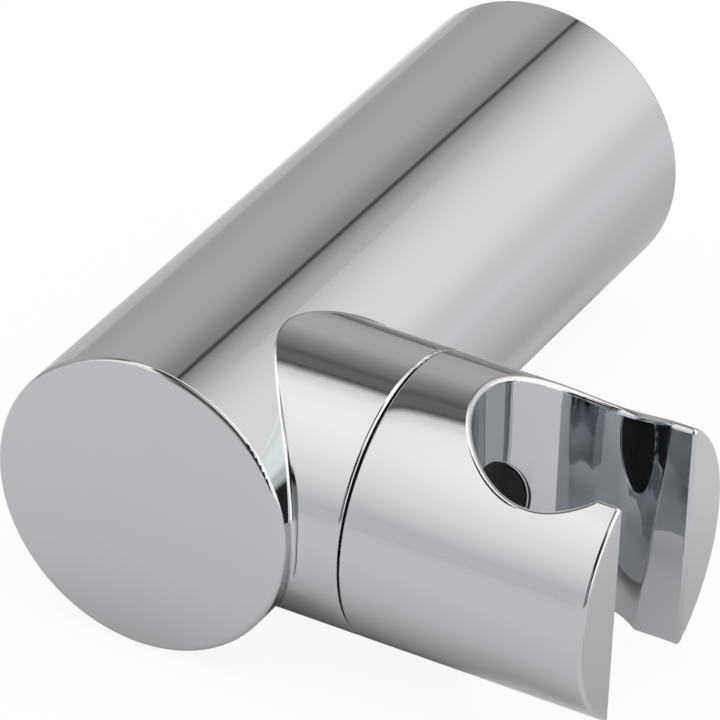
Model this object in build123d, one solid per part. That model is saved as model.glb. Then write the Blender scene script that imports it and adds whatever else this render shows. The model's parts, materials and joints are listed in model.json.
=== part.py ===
from build123d import *
from math import radians, sqrt, tan
import os

# Hand shower holder for a wall, in millimetres.
# The origin is the centre of the face that meets the wall. +Y points into the wall, so the tube
# stands out along -Y. +Z is up, and the head swivels about an axis along +X.

# Wall tube, one casting with its side stub
tube_diameter = 40.0
tube_wall = 2.5
overall_length = 103.4  # wall to the front of the cap
rear_wall = 3.5
tube_edge_round = 0.3
wall_hole_diameter = 5.5
wall_hole_inset = 6.5  # centre of a wall screw hole to the inside of the tube

# Side stub that carries the head
stub_step = 1.7  # tube radius less stub radius
stub_margin = 1.5  # front end of the tube to the near side of the stub
stub_reach = 6.15  # side of the tube to the end of the stub
stub_wall = 3.0
saddle_round = 0.5
stub_edge_round = 0.45
seam_gap = 0.3

# Boss inside the stub, which the pivot passes through
boss_margin = 0.5  # beyond the flange of a bush
boss_rise = 0.6  # above the outside of the tube
boss_land = 0.3  # past the curved inside of the tube, at the edge of the boss

# Front cap
cap_lip = 0.4
cap_edge_reach = 0.65  # of the rim's round, in from the side of the tube
cap_face = 2.4
cap_skirt_wall = 3.0
cap_skirt_to_boss = 2.8
cap_fit = 0.08
lead_in = 0.5  # chamfer on what is pushed into a bore

# Head with the conical seat for the handset
head_wall = 9.9  # shoulder of the head to the wall of the seat, on the swivel axis
seat_diameter = 23.0  # at the height of the swivel axis
seat_taper = 3.2  # half angle in degrees
jaw_grip = 1.075  # how far each jaw closes in past the small end of the seat
jaw_flat = 3.14  # flat of a jaw past the seat, at the top
shoulder_round = 0.2
seat_mouth_round = 0.65  # upper rim of the seat and inner corners of the jaws
jaw_end_round = 0.5
spigot_wall = 3.4
spigot_fit = 0.08
hollow_depth = 3.0  # of the ring-shaped hollow, past the shoulder

# Rubber rings
ring_section = 1.8
ring_fit = 0.03
groove_play = 0.2

# Pivot screw and its lock nut
screw_diameter = 6.0
screw_hole_play = 0.2
thread_fit = 0.03
screw_head_overhang = 2.25
screw_head_height = 3.3
screw_head_land = 1.0  # straight side of the domed head
screw_socket = 4.0
screw_socket_depth = 2.0
screw_proud = 0.7  # tip past the lock nut
screw_tip_chamfer = 0.6
nut_wall = 2.0  # screw to a flat of the nut
nut_hex_height = 4.4
nut_chamfer = 0.5
nut_collar_height = 1.6
nut_collar_inset = 0.4
nut_collar_wall = 0.7
insert_height = 1.8

# Bushes, washers and disc springs on the pivot
bush_wall = 1.5
bush_flange_diameter = 16.0
bush_flange = 1.0
bush_fit = 0.02
pivot_fit = 0.05
axial_play = 0.05
washer_margin = 1.15  # beyond the head of the screw
head_washer_thickness = 1.0
pressure_washer_thickness = 1.2
spring_inset = 0.15
spring_thickness = 0.6
spring_height = 0.9

# Plug over the head of the screw, inside the seat
plug_recess_margin = 0.68  # beyond the washer
plug_land = 0.12  # sunk ring of the seat round the plug
plug_land_sink = 0.3  # below the wall of the seat
plug_land_round = 0.08
plug_fit = 0.05
plug_sink = 0.05  # below its ring
plug_face = 1.4
plug_wall = 0.95
plug_edge_round = 0.15
plug_headroom = 0.3

# Most of a wall that a round on it may take
round_share = 0.9

# Tube, stub and boss
tube_radius = tube_diameter / 2
tube_inside = tube_radius - tube_wall
tube_length = overall_length - cap_lip
stub_radius = tube_radius - stub_step
stub_inside = stub_radius - stub_wall
stub_end = tube_radius + stub_reach
swivel_y = stub_margin + stub_radius - tube_length
boss_radius = bush_flange_diameter / 2 + boss_margin
boss_outer = tube_radius + boss_rise
boss_inner = sqrt(tube_inside**2 - boss_radius**2) - boss_land
skirt_end = swivel_y - boss_radius - cap_skirt_to_boss
skirt_middle = (skirt_end - tube_length) / 2

# Head, from its hub on the outer bush to the tips of its jaws
hub_face = boss_outer + bush_flange + axial_play
shoulder = stub_end + seam_gap
seat_wall = shoulder + head_wall
seat_x = seat_wall + seat_diameter / 2
seat_slope = tan(radians(seat_taper))
jaw_half_gap = seat_diameter / 2 - stub_radius * seat_slope - jaw_grip
jaw_top = sqrt(stub_radius**2 - jaw_half_gap**2)
seat_top_radius = seat_diameter / 2 + jaw_top * seat_slope
head_end = seat_x + sqrt(seat_top_radius**2 - jaw_half_gap**2) + jaw_flat
spigot_radius = stub_inside - spigot_fit
spigot_middle = (hub_face + shoulder) / 2

# Pivot, from the plug in the seat to the tip of the screw inside the tube
screw_radius = screw_diameter / 2
screw_hole = screw_radius + screw_hole_play
thread_radius = screw_radius - thread_fit
screw_head_radius = screw_radius + screw_head_overhang
washer_radius = screw_head_radius + washer_margin
plug_recess_radius = washer_radius + plug_recess_margin
plug_depth = plug_land_sink + plug_sink
plug_back = seat_wall - plug_depth - plug_face - plug_headroom - screw_head_height
screw_seat = plug_back - head_washer_thickness
pressure_face = boss_inner - bush_flange - axial_play
spring_face = pressure_face - pressure_washer_thickness
nut_face = spring_face - 2 * spring_height
collar_face = nut_face - nut_hex_height
nut_end = collar_face - nut_collar_height
screw_tip = nut_end - screw_proud
nut_flat = screw_radius + nut_wall
collar_radius = nut_flat - nut_collar_inset
insert_radius = collar_radius - nut_collar_wall


def turned_on_swivel(*outline):
    """Solid of revolution about the swivel axis from (place along X, radius) points."""
    section = make_face(Polyline(*outline, close=True))
    return Pos(0, swivel_y, 0) * revolve(section, Axis.X)


def turned_on_tube(*outline):
    """Solid of revolution about the tube's axis from (radius, place along Y) points."""
    return revolve(make_face(Polyline(*outline, close=True)), Axis.Y)


def rod_on_swivel(start, end, radius):
    """Plain round rod on the swivel axis."""
    return turned_on_swivel((start, 0), (end, 0), (end, radius), (start, radius))


def ring_on_swivel(start, end, inside, outside):
    """Plain round ring on the swivel axis."""
    return turned_on_swivel((start, inside), (end, inside), (end, outside), (start, outside))


def rod_on_tube(start, end, radius):
    """Plain round rod on the tube's axis."""
    return turned_on_tube((0, start), (0, end), (radius, end), (radius, start))


def hexagon_on_swivel(start, length, flat):
    """Hexagonal bar on the swivel axis, towards +X from its start; flat is half its width."""
    plane = Plane(origin=(start, swivel_y, 0), x_dir=(0, 0, 1), z_dir=(1, 0, 0))
    return extrude(plane * RegularPolygon(flat, 6, major_radius=False), amount=length)


def seat_cone(extra=0.0):
    """Conical seat through the head, grown all round by extra."""
    reach = 2 * stub_radius
    middle = seat_diameter / 2 + extra
    cone = Cone(middle - reach * seat_slope, middle + reach * seat_slope, 2 * reach)
    return Pos(seat_x, swivel_y, 0) * cone


def groove(middle):
    """Both sides of the groove of a rubber ring."""
    half = ring_section / 2 + groove_play
    return middle - half, middle + half


def groove_floor(bore):
    """Radius of the floor of a groove whose rubber ring seals in that bore."""
    return bore - 2 * ring_fit - ring_section


def rubber_ring(bore):
    """Round-section rubber ring that seals in that bore, about the Z axis."""
    return Torus(bore - ring_fit - ring_section / 2, ring_section / 2)


def round_edges(solid):
    """Circular edges of a solid."""
    return solid.edges().filter_by(GeomType.CIRCLE)


def make_bracket_body():
    """Tube and stub in one, with the rear wall, the boss and the wall screw holes."""
    tube = rod_on_tube(-tube_length, 0, tube_radius)
    body = tube + rod_on_swivel(0, stub_end, stub_radius)
    saddle = [e for e in body.edges() if e.geom_type not in (GeomType.CIRCLE, GeomType.LINE)]
    body = fillet(saddle, min(saddle_round, round_share * (stub_margin - tube_edge_round)))
    body = fillet(round_edges(body).sort_by(Axis.Y)[0], tube_edge_round)
    body = fillet(round_edges(body).sort_by(Axis.Y)[-1], tube_edge_round)
    body = fillet(round_edges(body).sort_by(Axis.X)[-1], stub_edge_round)

    body -= rod_on_swivel(0, stub_end, stub_inside) - tube
    body -= rod_on_tube(-tube_length, -rear_wall, tube_inside)
    body += rod_on_swivel(boss_inner, boss_outer, boss_radius)
    body -= rod_on_swivel(boss_inner, boss_outer, screw_radius + bush_wall + bush_fit)
    wall_hole = Rot(90, 0, 0) * Cylinder(wall_hole_diameter / 2, 4 * rear_wall)
    for side in (-1, 1):
        body -= Pos(0, 0, side * (tube_inside - wall_hole_inset)) * wall_hole
    return body


def make_front_cap():
    """Disc that closes the tube, with a grooved skirt that pushes into it."""
    skirt = tube_inside - cap_fit
    inside = skirt - cap_skirt_wall
    front = -overall_length
    rim = TangentArc((tube_radius - cap_edge_reach, front), (tube_radius, -tube_length), tangent=(1, 0))
    outline = Polyline(
        rim @ 1,
        (skirt, -tube_length),
        (skirt, skirt_end - lead_in),
        (skirt - lead_in, skirt_end),
        (inside, skirt_end),
        (inside, front + cap_face),
        (0, front + cap_face),
        (0, front),
        rim @ 0,
    )
    cap = revolve(make_face([rim, outline]), Axis.Y)
    groove_start, groove_end = groove(skirt_middle)
    floor = groove_floor(tube_inside)
    return cap - turned_on_tube(
        (floor, groove_start),
        (tube_inside, groove_start),
        (tube_inside, groove_end),
        (floor, groove_end),
    )


def make_cap_ring():
    """Rubber ring in the groove of the cap's skirt."""
    return Pos(0, skirt_middle, 0) * Rot(90, 0, 0) * rubber_ring(tube_inside)


def make_bush(face, direction):
    """Flanged bush in the boss. Its flange lies on a face of the boss and stands off it along direction."""
    sleeve_end = face - direction * ((boss_outer - boss_inner) / 2 - axial_play)
    flange_face = face + direction * bush_flange
    hole = screw_radius + pivot_fit
    sleeve = screw_radius + bush_wall
    return turned_on_swivel(
        (flange_face, hole),
        (flange_face, bush_flange_diameter / 2),
        (face, bush_flange_diameter / 2),
        (face, sleeve),
        (sleeve_end, sleeve),
        (sleeve_end, hole),
    )


def make_holder_head():
    """Round head with the conical seat, the hose slot, the spigot and the seat of the screw."""
    head = rod_on_swivel(shoulder, head_end, stub_radius)
    head = fillet(round_edges(head).sort_by(Axis.X)[0], shoulder_round)
    slot = Box(2 * (head_end - seat_x), 2 * jaw_half_gap, 4 * stub_radius)
    head -= seat_cone() + Pos(head_end, swivel_y, 0) * slot

    outside = head.faces().filter_by(GeomType.CYLINDER).sort_by(SortBy.AREA)[-1]
    upper = [e for e in outside.edges() if e.center().Z > stub_radius / 2]
    mouth = [e for e in upper if e.geom_type != GeomType.CIRCLE]
    jaw_corners = head.edges().filter_by(GeomType.HYPERBOLA)
    head = fillet([*mouth, *jaw_corners], seat_mouth_round)
    jaw_ends = head.faces().filter_by(Axis.X).sort_by(Axis.X)[-2:]
    outlines = [e for face in jaw_ends for e in face.outer_wire().edges()]
    head = fillet(outlines, min(jaw_end_round, round_share * seat_mouth_round))

    head += turned_on_swivel(
        (hub_face, 0),
        (hub_face, spigot_radius - lead_in),
        (hub_face + lead_in, spigot_radius),
        (shoulder, spigot_radius),
        (shoulder, 0),
    )
    hollow_end = shoulder + hollow_depth
    head -= ring_on_swivel(hub_face, hollow_end, bush_flange_diameter / 2, spigot_radius - spigot_wall)
    head -= ring_on_swivel(*groove(spigot_middle), groove_floor(stub_inside), stub_inside)
    head -= rod_on_swivel(hub_face, screw_seat, screw_hole)
    head -= rod_on_swivel(screw_seat, seat_x, plug_recess_radius)
    land = rod_on_swivel(screw_seat, seat_x, plug_recess_radius + plug_land)
    head -= land & seat_cone(plug_land_sink)
    seat = head.faces().filter_by(GeomType.CONE).sort_by(SortBy.AREA)[-1]
    return fillet(seat.inner_wires()[0].edges(), plug_land_round)


def make_spigot_ring():
    """Rubber ring in the groove of the head's spigot."""
    return Pos(spigot_middle, swivel_y, 0) * Rot(0, 90, 0) * rubber_ring(stub_inside)


def make_screw_cover():
    """Plug over the head of the screw: a cup whose face follows the conical seat, just below it."""
    radius = plug_recess_radius - plug_fit
    plug = rod_on_swivel(plug_back, seat_x, radius) - seat_cone(plug_depth)
    face = plug.faces().filter_by(GeomType.CONE).sort_by(SortBy.AREA)[-1]
    plug = fillet(face.edges(), plug_edge_round)
    cup_floor = plug_back + screw_head_height + plug_headroom
    return plug - rod_on_swivel(plug_back, cup_floor, radius - plug_wall)


def make_pivot_screw():
    """Domed socket screw along the swivel axis, from inside the seat to past the lock nut."""
    crown = plug_back + screw_head_height
    head = rod_on_swivel(plug_back, crown, screw_head_radius)
    head = fillet(round_edges(head).sort_by(Axis.X)[-1], screw_head_height - screw_head_land)
    shank = turned_on_swivel(
        (plug_back, 0),
        (plug_back, thread_radius),
        (screw_tip + screw_tip_chamfer, thread_radius),
        (screw_tip, thread_radius - screw_tip_chamfer),
        (screw_tip, 0),
    )
    socket = hexagon_on_swivel(crown - screw_socket_depth, screw_socket_depth, screw_socket / 2)
    return head + shank - socket


def make_washer(start, thickness):
    """Flat washer on the pivot screw."""
    return ring_on_swivel(start, start + thickness, screw_hole, washer_radius)


def make_disc_spring(face, direction):
    """Conical disc spring: its outer edge is on that face, and it rises to its hole along direction."""
    outside = washer_radius - spring_inset
    rise = direction * (spring_height - spring_thickness)
    thickness = direction * spring_thickness
    return turned_on_swivel(
        (face, outside),
        (face + rise, screw_hole),
        (face + rise + thickness, screw_hole),
        (face + thickness, outside),
    )


def make_lock_nut():
    """Hexagon nut with a round collar, hollowed for the nylon ring."""
    corner = nut_flat * 2 / sqrt(3)
    chamfered = turned_on_swivel(
        (nut_face, 0),
        (nut_face, corner - nut_chamfer),
        (nut_face - nut_chamfer, corner),
        (collar_face + nut_chamfer, corner),
        (collar_face, corner - nut_chamfer),
        (collar_face, 0),
    )
    nut = hexagon_on_swivel(collar_face, nut_hex_height, nut_flat) & chamfered
    nut += rod_on_swivel(nut_end, collar_face, collar_radius)
    nut -= rod_on_swivel(nut_end, nut_face, screw_radius)
    return nut - rod_on_swivel(nut_end, nut_end + insert_height, insert_radius)


def make_nut_insert():
    """Nylon ring in the collar of the lock nut."""
    return ring_on_swivel(nut_end, nut_end + insert_height, screw_radius, insert_radius)


pieces = {
    "bracket_body": make_bracket_body(),
    "front_cap": make_front_cap(),
    "cap_ring": make_cap_ring(),
    "outer_bush": make_bush(boss_outer, 1),
    "inner_bush": make_bush(boss_inner, -1),
    "holder_head": make_holder_head(),
    "spigot_ring": make_spigot_ring(),
    "screw_cover": make_screw_cover(),
    "pivot_screw": make_pivot_screw(),
    "head_washer": make_washer(screw_seat, head_washer_thickness),
    "pressure_washer": make_washer(spring_face, pressure_washer_thickness),
    "disc_spring_near": make_disc_spring(spring_face, -1),
    "disc_spring_far": make_disc_spring(nut_face, 1),
    "lock_nut": make_lock_nut(),
    "nut_insert": make_nut_insert(),
}

os.makedirs("parts", exist_ok=True)
for name, piece in pieces.items():
    export_step(piece, f"parts/{name}.step")
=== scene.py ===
import json
import logging
from dataclasses import dataclass, field
from enum import Enum
from math import cos, e, prod, radians, sin
from typing import Any, Optional, Union

import bpy
from mathutils import Matrix, Vector


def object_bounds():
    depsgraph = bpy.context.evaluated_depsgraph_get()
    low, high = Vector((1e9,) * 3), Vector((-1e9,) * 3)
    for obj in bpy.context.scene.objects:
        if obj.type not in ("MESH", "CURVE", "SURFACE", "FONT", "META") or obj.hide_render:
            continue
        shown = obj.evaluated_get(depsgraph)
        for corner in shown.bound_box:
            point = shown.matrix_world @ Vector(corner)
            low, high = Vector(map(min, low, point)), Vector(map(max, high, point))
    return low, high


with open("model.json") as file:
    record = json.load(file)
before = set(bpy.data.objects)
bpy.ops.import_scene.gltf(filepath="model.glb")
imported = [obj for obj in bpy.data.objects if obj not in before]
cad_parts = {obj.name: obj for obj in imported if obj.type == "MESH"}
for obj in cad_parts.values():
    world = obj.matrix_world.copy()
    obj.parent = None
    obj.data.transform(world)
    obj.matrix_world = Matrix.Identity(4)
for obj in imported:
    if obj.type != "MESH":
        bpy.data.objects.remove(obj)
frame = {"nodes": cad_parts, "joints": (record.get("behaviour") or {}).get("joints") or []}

# A chromed hand shower holder in a plain studio. Lengths are in metres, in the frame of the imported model:
# the tube stands out from the wall along -Y, the head swivels about an axis along +X, and +Z is up.

MM = 0.001
PICTURE_SIDE = 720
MIRROR_BOUNCES = 10
CAD_BOX = [list(corner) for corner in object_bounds()]

log = logging.getLogger("hand_shower_holder")

Colour = tuple[float, float, float]
Span = tuple[float, float]
Value = Union["Shade", float, int]

BLACK: Colour = (0.0, 0.0, 0.0)
WHITE: Colour = (1.0, 1.0, 1.0)


class Body(Enum):
    """The two bodies that move against each other."""

    BRACKET = "bracket"
    HEAD = "head"


class Shade:
    """A socket of a node tree, with which shader maths is written as a Python expression."""

    def __init__(self, tree: "Tree", socket: Optional[bpy.types.NodeSocket]) -> None:
        """Keep the tree and the socket.

        Args:
            tree: The tree that the socket belongs to.
            socket: The output socket that holds the value, or None for a node that has no output.
        """
        self.tree = tree
        self.socket = socket

    def _math(self, operation: str, *values: Value) -> "Shade":
        """Add a Math node with these values, in this order."""
        return self.tree.add("ShaderNodeMath", {"operation": operation}, dict(enumerate(values)))

    def __add__(self, other: Value) -> "Shade":
        """Sum."""
        return self._math("ADD", self, other)

    def __radd__(self, other: Value) -> "Shade":
        """Sum, the other way round."""
        return self._math("ADD", other, self)

    def __sub__(self, other: Value) -> "Shade":
        """Difference."""
        return self._math("SUBTRACT", self, other)

    def __rsub__(self, other: Value) -> "Shade":
        """Difference, the other way round."""
        return self._math("SUBTRACT", other, self)

    def __mul__(self, other: Value) -> "Shade":
        """Product."""
        return self._math("MULTIPLY", self, other)

    def __rmul__(self, other: Value) -> "Shade":
        """Product, the other way round."""
        return self._math("MULTIPLY", other, self)

    def __truediv__(self, other: Value) -> "Shade":
        """Quotient."""
        return self._math("DIVIDE", self, other)

    def __rtruediv__(self, other: Value) -> "Shade":
        """Quotient, the other way round."""
        return self._math("DIVIDE", other, self)

    def __pow__(self, other: Value) -> "Shade":
        """Power."""
        return self._math("POWER", self, other)

    def __rpow__(self, other: Value) -> "Shade":
        """Power, the other way round."""
        return self._math("POWER", other, self)

    def __abs__(self) -> "Shade":
        """Size without its sign."""
        return self._math("ABSOLUTE", self)

    def at_least(self, floor: Value) -> "Shade":
        """The larger of this value and another."""
        return self._math("MAXIMUM", self, floor)

    def at_most(self, ceiling: Value) -> "Shade":
        """The smaller of this value and another."""
        return self._math("MINIMUM", self, ceiling)

    def step(self, start: float, end: float) -> "Shade":
        """Smooth step of this value.

        Args:
            start: Where the step is still 0.
            end: Where it has reached 1.

        Returns:
            The step, from 0 to 1.
        """
        settings = {"interpolation_type": "SMOOTHSTEP"}
        sockets = {"Value": self, "From Min": start, "From Max": end, "To Min": 0.0, "To Max": 1.0}
        return self.tree.add("ShaderNodeMapRange", settings, sockets)

    def towards(self, other: Value, share: Value) -> "Shade":
        """This value moved by a share of the way to another one."""
        return self + (other - self) * share


class Tree:
    """A node tree to which nodes are added by one method."""

    def __init__(self, nodes: bpy.types.NodeTree) -> None:
        """Start with an empty tree."""
        self.nodes = nodes
        self.nodes.nodes.clear()

    def add(
        self,
        kind: str,
        settings: Optional[dict[str, Any]] = None,
        sockets: Optional[dict[Union[str, int], Any]] = None,
        out: Union[str, int] = 0,
    ) -> Shade:
        """Add a node.

        Args:
            kind: The node's type.
            settings: The node's own settings, which are set first.
            sockets: Values or links of its inputs, by name or number.
            out: The output to return, by name or number.

        Returns:
            The chosen output.
        """
        node = self.nodes.nodes.new(kind)
        for name, value in (settings or {}).items():
            setattr(node, name, value)
        for name, value in (sockets or {}).items():
            if isinstance(value, Shade):
                self.nodes.links.new(value.socket, node.inputs[name])
            else:
                node.inputs[name].default_value = value
        return Shade(self, node.outputs[out] if len(node.outputs) else None)

    def axes(self, vector: Shade) -> tuple[Shade, Shade, Shade]:
        """Split a vector into its three numbers.

        Args:
            vector: The vector.

        Returns:
            Its X, Y and Z.
        """
        first = self.add("ShaderNodeSeparateXYZ", sockets={0: vector})
        node = first.socket.node
        return first, Shade(self, node.outputs[1]), Shade(self, node.outputs[2])

    def noise(self, place: Shade, size: float, detail: float = 2.0, roughness: float = 0.5) -> Shade:
        """Cloudy noise between 0 and 1.

        Args:
            place: The coordinates.
            size: Length of one cloud, in metres.
            detail: How many finer layers it has.
            roughness: How strong the finer layers are.

        Returns:
            The noise.
        """
        sockets = {"Vector": place, "Scale": 1.0 / size, "Detail": detail, "Roughness": roughness}
        return self.add("ShaderNodeTexNoise", sockets=sockets)

    def mix_colour(self, share: Value, first: Union[Shade, Colour], second: Union[Shade, Colour]) -> Shade:
        """Mix two colours.

        Args:
            share: How much of the second colour there is.
            first: Colour at a share of 0.
            second: Colour at a share of 1.

        Returns:
            The mixed colour.
        """
        ends = [c if isinstance(c, Shade) else (*c, 1.0) for c in (first, second)]
        return self.add("ShaderNodeMix", {"data_type": "RGBA"}, {0: share, 6: ends[0], 7: ends[1]}, out=2)

    def mix_shader(self, share: Value, first: Shade, second: Shade) -> Shade:
        """Mix two shaders by a share of the second."""
        return self.add("ShaderNodeMixShader", sockets={0: share, 1: first, 2: second})

    def bump(self, height: Shade) -> Shade:
        """Normal of a surface raised by a height in metres."""
        return self.add("ShaderNodeBump", sockets={"Strength": 1.0, "Distance": 1.0, "Height": height})

    def ray(self, kind: str) -> Shade:
        """1 for light paths of this kind, such as those seen by the camera, and 0 for others."""
        return self.add("ShaderNodeLightPath", out=kind)

    def surface(self, kind: str, shader: Shade) -> None:
        """End the tree in an output node of this type."""
        self.add(kind, sockets={"Surface": shader})


def grey(level: float) -> tuple[float, float, float, float]:
    """An opaque grey."""
    return (level, level, level, 1.0)


def scaled(colour: Colour, share: float) -> Colour:
    """A colour made darker or paler by a share."""
    return tuple(share * part for part in colour)


def new_material(name: str) -> tuple[bpy.types.Material, Tree, Shade]:
    """Start a material.

    Args:
        name: The material's name.

    Returns:
        The material, its empty tree and the object's own coordinates in metres.
    """
    material = bpy.data.materials.new(name)
    material.use_nodes = True
    tree = Tree(material.node_tree)
    place = tree.add("ShaderNodeTexCoord", out="Object")
    return material, tree, place


@dataclass(frozen=True)
class PolishedEdge:
    """A turned edge that polishing has rolled off a little: a plane across X."""

    place: float
    depth: float = 0.030 * MM
    width: float = 1.0 * MM

    def drop(self, along: Shade) -> Shade:
        """Height that is lost near the edge.

        Args:
            along: The coordinate along X.

        Returns:
            The drop in metres.
        """
        return self.depth * e ** (abs(along - self.place) * (-1.0 / self.width))


@dataclass(frozen=True)
class Chrome:
    """Polished chrome plate: bright, almost neutral, with faint waves of the metal under it."""

    name: str
    tone: Colour = (0.535, 0.567, 0.585)
    deep_tone: Colour = (0.525, 0.557, 0.575)
    cloud_size: float = 9 * MM
    sharpness: float = 0.035
    haze: float = 0.030
    haze_size: float = 2.2 * MM
    haze_edge: Span = (0.45, 0.8)
    wave_length: float = 14 * MM
    wave_height: float = 0.004 * MM
    edges: tuple[PolishedEdge, ...] = ()

    def material(self) -> bpy.types.Material:
        """Make the material.

        Returns:
            The finished material.
        """
        material, tree, place = new_material(self.name)
        clouds = tree.noise(place, self.cloud_size, detail=3.0)
        film = tree.noise(place, self.haze_size, detail=4.0, roughness=0.6).step(*self.haze_edge)
        height = tree.noise(place, self.wave_length, detail=1.0) * self.wave_height
        if self.edges:
            along = tree.axes(place)[0]
            for edge in self.edges:
                height = height - edge.drop(along)
        shader = tree.add(
            "ShaderNodeBsdfPrincipled",
            sockets={
                "Base Color": tree.mix_colour(clouds, self.tone, self.deep_tone),
                "Metallic": 1.0,
                "Roughness": self.sharpness + film * self.haze,
                "Normal": tree.bump(height),
            },
        )
        tree.surface("ShaderNodeOutputMaterial", shader)
        return material


@dataclass(frozen=True)
class MouldedPlastic:
    """Moulded plastic or rubber with a fine eroded texture."""

    name: str
    tone: Colour
    pale_tone: Colour
    roughness: float
    gloss: float = 0.5
    cloud_size: float = 4 * MM
    cloud_roughness: float = 0.1
    grain: float = 0.12 * MM
    grain_height: float = 0.003 * MM

    def material(self) -> bpy.types.Material:
        """Make the material.

        Returns:
            The finished material.
        """
        material, tree, place = new_material(self.name)
        clouds = tree.noise(place, self.cloud_size, detail=3.0)
        grain = tree.noise(place, self.grain, detail=3.0, roughness=0.6)
        shader = tree.add(
            "ShaderNodeBsdfPrincipled",
            sockets={
                "Base Color": tree.mix_colour(clouds, self.tone, self.pale_tone),
                "Roughness": self.roughness + (clouds - 0.5) * self.cloud_roughness,
                "Specular IOR Level": self.gloss,
                "Normal": tree.bump(grain * self.grain_height),
            },
        )
        tree.surface("ShaderNodeOutputMaterial", shader)
        return material


@dataclass(frozen=True)
class TurnedSteel:
    """Turned stainless steel, with fine rings about the swivel axis."""

    name: str
    tone: Colour
    dull_tone: Colour
    axis_y: float
    film_size: float = 3 * MM
    ring: float = 0.18 * MM
    ring_height: float = 0.002 * MM
    ring_roughness: float = 0.12
    roughness: float = 0.24

    def material(self) -> bpy.types.Material:
        """Make the material.

        Returns:
            The finished material.
        """
        material, tree, place = new_material(self.name)
        along, across, up = tree.axes(place)
        radius = ((across - self.axis_y) ** 2 + up**2) ** 0.5
        turns = tree.add("ShaderNodeCombineXYZ", sockets={0: along, 1: radius, 2: 0.0})
        rings = tree.noise(turns, self.ring, detail=2.0)
        film = tree.noise(place, self.film_size, detail=3.0)
        shader = tree.add(
            "ShaderNodeBsdfPrincipled",
            sockets={
                "Base Color": tree.mix_colour(film, self.tone, self.dull_tone),
                "Metallic": 1.0,
                "Roughness": self.roughness + rings * self.ring_roughness,
                "Normal": tree.bump(rings * self.ring_height),
            },
        )
        tree.surface("ShaderNodeOutputMaterial", shader)
        return material


class SubAssembly:
    """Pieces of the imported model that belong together."""

    body: Body

    def finish(self, node: str, material: bpy.types.Material) -> None:
        """Give a piece its finish.

        Args:
            node: The piece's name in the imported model.
            material: The finish.
        """
        piece = frame["nodes"][node]
        if not piece.material_slots:
            piece.data.materials.append(material)
        for slot in piece.material_slots:
            slot.material = material
        log.info("%s on %s dressed in %s", node, self.body.value, material.name)


@dataclass
class Bracket(SubAssembly):
    """The tube with its stub, cap, rubber ring and bushes, which stay on the wall."""

    body: Body = Body.BRACKET
    cap_wave_height: float = 0.002 * MM
    bushes: tuple[str, ...] = ("outer_bush", "inner_bush")

    def dress(self, rubber: bpy.types.Material, acetal: bpy.types.Material) -> None:
        """Dress all pieces of the bracket.

        Args:
            rubber: Finish of the rubber ring.
            acetal: Finish of the bushes.
        """
        self.finish("bracket_body", Chrome("chrome_body").material())
        self.finish("front_cap", Chrome("chrome_cap", wave_height=self.cap_wave_height).material())
        self.finish("cap_ring", rubber)
        for node in self.bushes:
            self.finish(node, acetal)


@dataclass
class Head(SubAssembly):
    """The swivelling head with its plug and rubber ring.

    Its edge is rolled off at the seam, and its barrel is faintly crowned towards it.
    """

    seam_x: float
    crown_depth: float = 0.7 * MM
    crown_width: float = 20 * MM
    body: Body = Body.HEAD
    plug: MouldedPlastic = MouldedPlastic(
        "black_plastic", (0.003, 0.003, 0.003), (0.005, 0.005, 0.005), 0.25, gloss=0.2
    )

    def dress(self, rubber: bpy.types.Material) -> None:
        """Dress the head's own pieces.

        Args:
            rubber: Finish of the rubber ring.
        """
        crown = PolishedEdge(self.seam_x, self.crown_depth, self.crown_width)
        chrome = Chrome("chrome_head", edges=(PolishedEdge(self.seam_x), crown))
        self.finish("holder_head", chrome.material())
        self.finish("screw_cover", self.plug.material())
        self.finish("spigot_ring", rubber)


@dataclass
class Pivot(SubAssembly):
    """The screw on the swivel axis, with its washers, springs and lock nut."""

    axis_y: float
    body: Body = Body.HEAD
    steel_parts: tuple[str, ...] = ("pivot_screw", "head_washer", "pressure_washer", "lock_nut")
    springs: tuple[str, ...] = ("disc_spring_near", "disc_spring_far")

    def dress(self) -> None:
        """Dress all pieces of the pivot."""
        steel = TurnedSteel("steel", (0.60, 0.60, 0.60), (0.52, 0.52, 0.53), self.axis_y).material()
        spring = TurnedSteel("spring_steel", (0.45, 0.45, 0.46), (0.38, 0.38, 0.40), self.axis_y).material()
        nylon = MouldedPlastic("nylon", (0.22, 0.38, 0.60), (0.28, 0.43, 0.64), 0.45).material()
        for node in self.steel_parts:
            self.finish(node, steel)
        for node in self.springs:
            self.finish(node, spring)
        self.finish("nut_insert", nylon)


@dataclass(frozen=True)
class Patch:
    """An area with soft edges, on the table or among the directions in the studio.

    Each edge is the span over which the area begins or ends. It is open where an edge is left out.
    """

    keeps: float = 0.0
    left: Optional[Span] = None
    right: Optional[Span] = None
    front: Optional[Span] = None
    back: Optional[Span] = None

    def cover(self, x: Shade, y: Shade) -> Shade:
        """How far a place lies in the area.

        Args:
            x: How far to the right the place is.
            y: How far to the back it is.

        Returns:
            The cover, from 0 outside to 1 inside.
        """
        begins = [value.step(*edge) for value, edge in ((x, self.left), (y, self.front)) if edge]
        ends = [1.0 - value.step(*edge) for value, edge in ((x, self.right), (y, self.back)) if edge]
        return prod(begins + ends)

    def dim(self, cover: Shade) -> Shade:
        """Share of the light that is kept where the area covers a place this far."""
        return 1.0 - (1.0 - self.keeps) * cover


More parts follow.
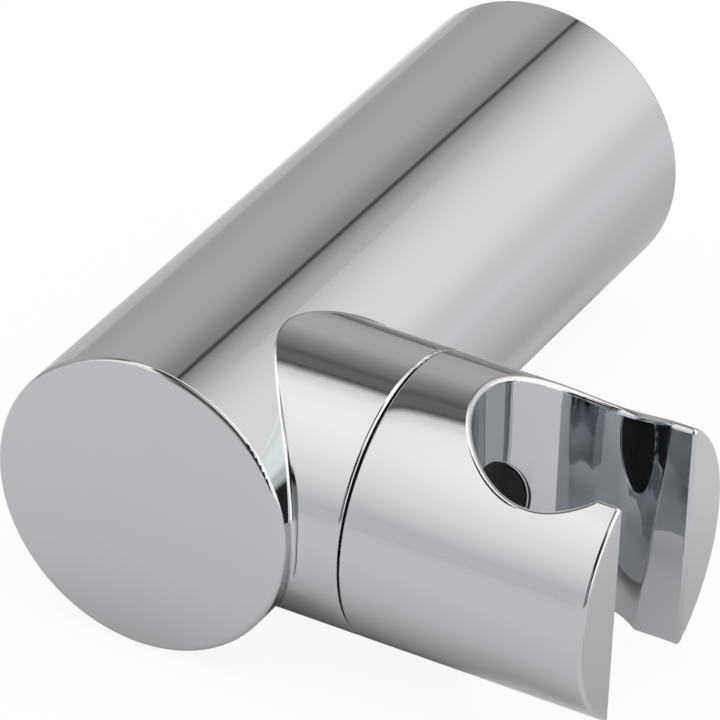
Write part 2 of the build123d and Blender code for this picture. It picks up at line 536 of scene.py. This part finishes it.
@dataclass
class Table:
    """A white table top under the holder.

    The camera sees it as plain white with a light shadow. The chrome sees its tone with painted light and
    patches of painted shade.
    """

    near_left: tuple[float, float] = (-0.6, -0.9)
    far_right: tuple[float, float] = (0.32, 0.35)
    drop: float = 0.3 * MM
    tone: Colour = (0.873, 0.829, 0.835)
    open_level: float = 1.035
    shadow_share: float = 0.08
    # Painted light and shade in the tone that the chrome mirrors: darker to the left, paler to the right.
    painted_left_shade_share: float = 0.71
    left_slant: float = 0.3
    left_edge: Span = (0.035, 0.075)
    left_front: Span = (-0.08, -0.03)
    painted_right_light_share: float = 1.1
    right_edge: Span = (0.08, 0.25)
    # Painted shade: patches that darken the mirrored tone where shadows and dimmer light fall; none right
    # under the tube.
    painted_shade_beside_tube: Patch = Patch(0.79, left=(0.0, 0.015), right=(0.024, 0.064), front=(-0.06, -0.04))
    under_tube: Patch = Patch(right=(0.019, 0.029), back=(-0.01, 0.01))
    painted_shade_past_jaws: Patch = Patch(
        0.85, left=(0.055, 0.066), right=(0.074, 0.086), front=(-0.095, -0.085), back=(-0.06, -0.03)
    )
    painted_shade_near_end: Patch = Patch(0.90, back=(-0.65, -0.2))
    painted_shade_far_corner: Patch = Patch(0.82, right=(-0.34, -0.17), front=(0.1, 0.2))

    def build(self) -> None:
        """Make the table top."""
        mesh = bpy.data.meshes.new("table")
        (left, front), (right, back) = self.near_left, self.far_right
        level = CAD_BOX[0][2] - self.drop
        corners = [(left, front, level), (right, front, level), (right, back, level), (left, back, level)]
        mesh.from_pydata(corners, [], [(0, 1, 2, 3)])
        table = bpy.data.objects.new("table", mesh)
        bpy.context.scene.collection.objects.link(table)
        mesh.materials.append(self._finish())
        log.info("table staged")

    def _finish(self) -> bpy.types.Material:
        """Make the table's finish.

        Returns:
            The finished material.
        """
        material, tree, place = new_material("white_table")
        x, y, _ = tree.axes(place)
        # The chrome mirrors a table with painted light and shade; the camera sees white with a light real
        # shadow.
        mirrored = tree.add("ShaderNodeBsdfDiffuse", sockets={"Color": self._mirrored_tone(tree, x, y)})
        shaded = tree.add("ShaderNodeBsdfDiffuse", sockets={"Color": grey(1.0 / self.open_level)})
        glow = tree.add("ShaderNodeEmission", sockets={"Color": grey(1.0), "Strength": 1.0})
        seen = tree.mix_shader(self.shadow_share, glow, shaded)
        tree.surface("ShaderNodeOutputMaterial", tree.mix_shader(tree.ray("Is Camera Ray"), mirrored, seen))
        return material

    def _mirrored_tone(self, tree: Tree, x: Shade, y: Shade) -> Shade:
        """Tone of the table where the chrome mirrors it.

        Args:
            tree: The finish's tree.
            x: The coordinate to the right.
            y: The coordinate to the back.

        Returns:
            The colour, with painted shade to the left, painted light to the right and patches of painted
            shade.
        """
        # Painted shade to the left and painted light to the right of the mirrored tone.
        to_left = (-1.0 * x - self.left_slant * y).step(*self.left_edge) * y.step(*self.left_front)
        to_right = (x + y).step(*self.right_edge)
        tone = tree.mix_colour(to_left, self.tone, scaled(self.tone, self.painted_left_shade_share))
        tone = tree.mix_colour(to_right, tone, scaled(self.tone, self.painted_right_light_share))
        # Painted shade in patches beside the tube, past the jaws, towards the front and in the far corner.
        share = self.painted_shade_beside_tube.dim(self.painted_shade_beside_tube.cover(x, y) * (1.0 - self.under_tube.cover(x, y)))
        for patch in (self.painted_shade_past_jaws, self.painted_shade_near_end, self.painted_shade_far_corner):
            share = share * patch.dim(patch.cover(x, y))
        return tree.mix_colour(share, BLACK, tone)


@dataclass(frozen=True)
class Direction:
    """A direction in the studio: its shares to the right, to the back and upwards.

    The height is 0 below the horizon, and to_right is 1 at the right end of the studio.
    """

    x: Shade
    y: Shade
    height: Shade
    to_right: Shade


@dataclass(frozen=True)
class Softbox:
    """A wide soft lamp that lights matt surfaces."""

    level: float
    way: Colour
    focus: float = 4.0

    def light(self, x: Shade, y: Shade, z: Shade) -> Shade:
        """Light of the lamp.

        Args:
            x: The direction's share to the right.
            y: Its share to the back.
            z: Its share upwards.

        Returns:
            The level, which fades away from the lamp's own direction.
        """
        facing = self.way[0] * x + self.way[1] * y + self.way[2] * z
        return self.level * facing.at_least(0.0) ** self.focus


@dataclass(frozen=True)
class LeftLamp:
    """The lamp on the left: brighter higher up, with a faint dip before its outer side."""

    level: float = 0.2716
    rise: float = 1.05
    back_loss: float = 0.35
    least: float = 0.69
    dip_x: float = -0.394
    dip_width: float = 0.05
    dip_slope: float = 0.9
    outer_x: float = -0.46
    outer_slope: float = 1.4

    def light(self, way: Direction) -> Shade:
        """Level of the lamp in each direction.

        Args:
            way: The direction.

        Returns:
            The level.
        """
        dip = self.dip_slope * (way.x - self.dip_x).at_most(0.0).at_least(-self.dip_width)
        outer = self.outer_slope * (self.outer_x - way.x).at_least(0.0)
        level = self.level + self.rise * way.height - self.back_loss * way.y
        return (level + dip + outer).at_least(self.least)


@dataclass(frozen=True)
class RightLamp:
    """The lamp on the right, brighter further out and weaker at its top."""

    level: float = 0.55
    slope: float = 1.4
    bend: float = 0.45
    top: Span = (0.7, 0.95)
    top_loss: float = 0.28
    least: float = 0.05
    inner_edge: Span = (-0.36, -0.2)

    def light(self, way: Direction) -> Shade:
        """Level of the lamp in each direction."""
        level = self.level + self.slope * way.x - self.bend * way.x * way.x
        return (level - self.top_loss * way.height.step(*self.top)).at_least(self.least)

    def cover(self, way: Direction) -> Shade:
        """How far a direction belongs to this lamp and not to the left one."""
        return way.x.step(*self.inner_edge)


@dataclass(frozen=True)
class CameraFlag:
    """The darkness round the camera.

    It reaches higher on the right and in front, and is weaker straight ahead.
    """

    area: Patch = Patch(left=(-0.22, -0.08), right=(0.7, 0.85), back=(-0.5, -0.2))
    darkness: float = 0.97
    top: Span = (0.3, 0.6)
    right_side: Span = (0.2, 0.5)
    right_rise: float = 0.28
    front_side: Span = (-0.56, -0.46)
    front_rise: float = 0.35
    middle: Span = (-0.9, -0.87)
    middle_share: float = 0.6

    def passes(self, way: Direction) -> Shade:
        """Share of the lamps' light that is left beside and above the flag.

        Args:
            way: The direction.

        Returns:
            The share, near 0 inside the flag.
        """
        height = way.height - self.right_rise * way.x.step(*self.right_side)
        height = height - self.front_rise * (1.0 - way.y.step(*self.front_side))
        depth = self.middle_share + (1.0 - self.middle_share) * way.y.step(*self.middle)
        cover = self.area.cover(way.x, way.y) * depth
        return 1.0 - self.darkness * cover * (1.0 - height.step(*self.top))


@dataclass(frozen=True)
class OverheadLamp:
    """The long lamp overhead, with a weaker panel along its near side."""

    area: Patch = Patch(left=(-0.38, -0.3), front=(-0.5, -0.36), back=(0.64, 0.72))
    bottom: Span = (0.62, 0.8)
    right_drop: float = 0.35
    level: float = 1.6
    right_side: Span = (0.3, 0.6)
    right_gain: float = 0.3
    back_side: Span = (0.18, 0.5)
    back_loss: float = 0.47
    panel_level: float = 0.2
    panel_slope: float = 1.9
    panel_limits: Span = (0.05, 1.2)
    panel_edge: Span = (0.0, 0.16)
    panel_shift: float = 0.3

    def light(self, way: Direction) -> Shade:
        """Level of the lamp in each direction.

        Args:
            way: The direction.

        Returns:
            The level.
        """
        least, most = self.panel_limits
        panel = (self.panel_level + self.panel_slope * way.x).at_least(least).at_most(most)
        gain = self.right_gain - self.back_loss * way.y.step(*self.back_side)
        lamp = self.level + gain * way.x.step(*self.right_side)
        return panel.towards(lamp, (way.y + self.panel_shift * way.to_right).step(*self.panel_edge))

    def cover(self, way: Direction) -> Shade:
        """How far a direction lies in the lamp."""
        height = way.height + self.right_drop * way.to_right
        return height.step(*self.bottom) * self.area.cover(way.x, way.y)


@dataclass(frozen=True)
class FarLamp:
    """The lamp behind the holder, which fades to the left, downwards and straight behind."""

    level: float = 1.02
    fade: float = 0.77
    fade_x: float = 0.48
    fade_width: float = 0.62
    low_share: float = 0.81
    low_edge: Span = (0.0, 0.34)
    back_side: Span = (0.8, 0.9)
    back_loss: float = 0.45
    front_edge: Span = (0.35, 0.7)
    right_front_edge: Span = (0.66, 0.725)

    def light(self, way: Direction) -> Shade:
        """Level of the lamp in each direction.

        Args:
            way: The direction.

        Returns:
            The level.
        """
        fade = self.fade * ((self.fade_x - way.x).at_least(0.0) / self.fade_width) ** 2.0
        low = self.low_share + (1.0 - self.low_share) * way.height.step(*self.low_edge)
        back = 1.0 - self.back_loss * way.y.step(*self.back_side)
        return (self.level - fade).at_least(0.0) * low * back

    def cover(self, way: Direction) -> Shade:
        """How far a direction lies in the lamp."""
        return way.y.step(*self.front_edge).towards(way.y.step(*self.right_front_edge), way.to_right)


@dataclass(frozen=True)
class GreyWall:
    """The grey wall behind on the left.

    It has a ledge near its top, a dark strip along its front edge and a dark gap between it and the lamps.
    """

    level: float = 0.435
    foot_edge: Span = (-0.1, 0.35)
    foot_gain: float = 0.11
    top_edge: Span = (0.48, 0.88)
    top_loss: float = 0.395
    corner_edge: Span = (-0.75, -0.25)
    corner_back: Span = (0.55, 0.7)
    corner_loss: float = 0.21
    ledge: Span = (0.82, 0.845)
    ledge_gain: float = 0.02
    ledge_shadow: Span = (0.765, 0.805)
    ledge_shadow_top: Span = (0.81, 0.84)
    ledge_loss: float = 0.035
    ledge_end: Span = (0.45, 0.55)
    front_y: float = 0.03
    front_x: float = -0.394
    front_slant: float = 2.2
    front_parts: tuple[tuple[float, Span], ...] = ((0.78, (0.13, 0.235)), (0.22, (-0.03, 0.16)))
    strip_y: float = 0.245
    strip_edge: Span = (0.005, 0.03)
    strip_loss: float = 0.28
    least_height: float = 0.05
    side_x: float = -0.43
    side_turn: float = 0.2156
    side_turn_edge: Span = (0.15, 1.05)
    side_edge: Span = (0.0, 0.08)
    gap_edge: Span = (0.006, 0.05)
    gap_back: Span = (0.45, 0.65)
    gap_loss: float = 0.74

    def light(self, way: Direction, lamps: Shade) -> Shade:
        """Level of the studio with the wall in it.

        Args:
            way: The direction.
            lamps: Level of the lamps in that direction.

        Returns:
            The level of the lamps or of the wall in front of them.
        """
        deep = way.height.at_least(self.least_height)
        across, along = way.x / deep, way.y / deep
        front = way.y - self.front_y - self.front_slant * (way.x - self.front_x).at_most(0.0)
        side = across - self.side_x - self.side_turn * along.step(*self.side_turn_edge)
        cover = sum(share * front.step(*edge) for share, edge in self.front_parts)
        light = lamps.towards(self._paint(way, across, front), cover * (1.0 - side.step(*self.side_edge)))
        gap = (1.0 - abs(side).step(*self.gap_edge)) * way.y.step(*self.gap_back)
        return light * (1.0 - self.gap_loss * gap)

    def _paint(self, way: Direction, across: Shade, front: Shade) -> Shade:
        """Level of the wall itself.

        Args:
            way: The direction.
            across: How far to the right it is at the ceiling.
            front: How far it lies behind the wall's front edge.

        Returns:
            The level.
        """
        height = way.height
        foot = self.foot_gain * height.step(*self.foot_edge)
        wall = self.level + foot - self.top_loss * height.step(*self.top_edge)
        corner = across.step(*self.corner_edge) * way.y.step(*self.corner_back)
        shadow = height.step(*self.ledge_shadow) * (1.0 - height.step(*self.ledge_shadow_top))
        ledge = self.ledge_gain * height.step(*self.ledge) - self.ledge_loss * shadow
        strip = 1.0 - abs(front - self.strip_y).step(*self.strip_edge)
        wall = wall * (1.0 - self.corner_loss * corner)
        wall = wall + ledge * (1.0 - way.y.step(*self.ledge_end))
        return wall * (1.0 - self.strip_loss * strip)


@dataclass
class Studio:
    """The soft light.

    The camera sees white, the chrome sees lamps and a wall, and matt surfaces get a dome and two softboxes.
    """

    key: Softbox = Softbox(1.25, (-0.66, -0.38, 0.65))
    fill: Softbox = Softbox(1.5, (0.60, 0.10, 0.79))
    dome_level: float = 0.22
    dome_front: Span = (-0.7, -0.1)
    dome_top: float = 2.5
    dome_focus: float = 3.0
    mirror_level: float = 1.158
    lamp_tone: Colour = (1.033, 0.991, 0.951)
    low_tone: Colour = (1.033, 0.988, 0.998)
    low_edge: Span = (0.15, 0.45)
    low_back: Span = (0.3, 0.6)
    right_end: Span = (0.4, 0.58)
    left: LeftLamp = LeftLamp()
    right: RightLamp = RightLamp()
    flag: CameraFlag = CameraFlag()
    overhead: OverheadLamp = OverheadLamp()
    far: FarLamp = FarLamp()
    wall: GreyWall = GreyWall()

    def build(self) -> None:
        """Make the light as the scene's world."""
        world = bpy.data.worlds.new("studio")
        world.use_nodes = True
        bpy.context.scene.world = world
        tree = Tree(world.node_tree)
        x, y, z = tree.axes(tree.add("ShaderNodeTexCoord", out="Generated"))
        way = Direction(x, y, z.at_least(0.0), x.step(*self.right_end))
        matt = self.dome_level * (y.step(*self.dome_front) + self.dome_top * way.height**self.dome_focus)
        for softbox in (self.key, self.fill):
            matt = matt + softbox.light(x, y, z)
        mirror = tree.ray("Is Glossy Ray")
        strength = matt.towards(self.mirror_level * self._mirrored(way), mirror)
        strength = strength.towards(1.0, tree.ray("Is Camera Ray"))
        high = way.height.step(*self.low_edge).at_least(y.step(*self.low_back))
        colour = tree.mix_colour(mirror, WHITE, tree.mix_colour(high, self.low_tone, self.lamp_tone))
        sky = tree.add("ShaderNodeBackground", sockets={"Color": colour, "Strength": strength})
        tree.surface("ShaderNodeOutputWorld", sky)
        log.info("studio light made")

    def _mirrored(self, way: Direction) -> Shade:
        """Level of what the chrome mirrors.

        Args:
            way: The direction.

        Returns:
            The level of the lamps with the dark flag and the wall in front of them.
        """
        light = self.left.light(way).towards(self.right.light(way), self.right.cover(way))
        light = light * self.flag.passes(way)
        light = light.towards(self.overhead.light(way), self.overhead.cover(way))
        light = light.towards(self.far.light(way), self.far.cover(way))
        return self.wall.light(way, light)


@dataclass
class Viewpoint:
    """The camera at the photograph's angle. It clips at shares of its distance from the target."""

    azimuth: float = 27.8177
    elevation: float = 32.4719
    roll: float = 2.5821
    distance: float = 0.84891
    near_share: float = 0.1
    far_share: float = 10.0
    focal_pixels: float = 6731.4
    sensor: float = 36.0
    target: Vector = field(default_factory=lambda: Vector((2.78, -53.55, -4.88)) * MM)

    def build(self) -> None:
        """Make the camera."""
        turn, rise, roll = radians(self.azimuth), radians(self.elevation), radians(self.roll)
        back = Vector((sin(turn) * cos(rise), -cos(turn) * cos(rise), sin(rise)))
        level = Vector((cos(turn), sin(turn), 0.0))
        upright = back.cross(level)
        across = level * cos(roll) + upright * sin(roll)
        up = upright * cos(roll) - level * sin(roll)
        data = bpy.data.cameras.new("camera")
        data.sensor_width = self.sensor
        data.lens = self.sensor * self.focal_pixels / PICTURE_SIDE
        data.clip_start = self.near_share * self.distance
        data.clip_end = self.far_share * self.distance
        camera = bpy.data.objects.new("camera", data)
        axes = Matrix((across, up, back)).transposed().to_4x4()
        camera.matrix_world = Matrix.Translation(self.target + back * self.distance) @ axes
        bpy.context.scene.collection.objects.link(camera)
        bpy.context.scene.camera = camera
        log.info("camera placed")


def main() -> None:
    """Dress the holder, then make the table, the studio and the camera."""
    logging.basicConfig(level=logging.INFO, format="%(name)s: %(message)s")
    bpy.context.scene.view_settings.view_transform = "Standard"
    bpy.context.scene.cycles.glossy_bounces = MIRROR_BOUNCES
    swivel = Vector(frame["joints"][0]["pos_m"])
    rubber = MouldedPlastic("rubber", (0.020, 0.020, 0.020), (0.030, 0.030, 0.030), 0.62).material()
    acetal = MouldedPlastic("acetal", (0.85, 0.84, 0.80), (0.80, 0.79, 0.75), 0.42).material()
    Bracket().dress(rubber, acetal)
    Head(swivel.x).dress(rubber)
    Pivot(swivel.y).dress()
    Table().build()
    Studio().build()
    Viewpoint().build()


if __name__ == "__main__":
    main()
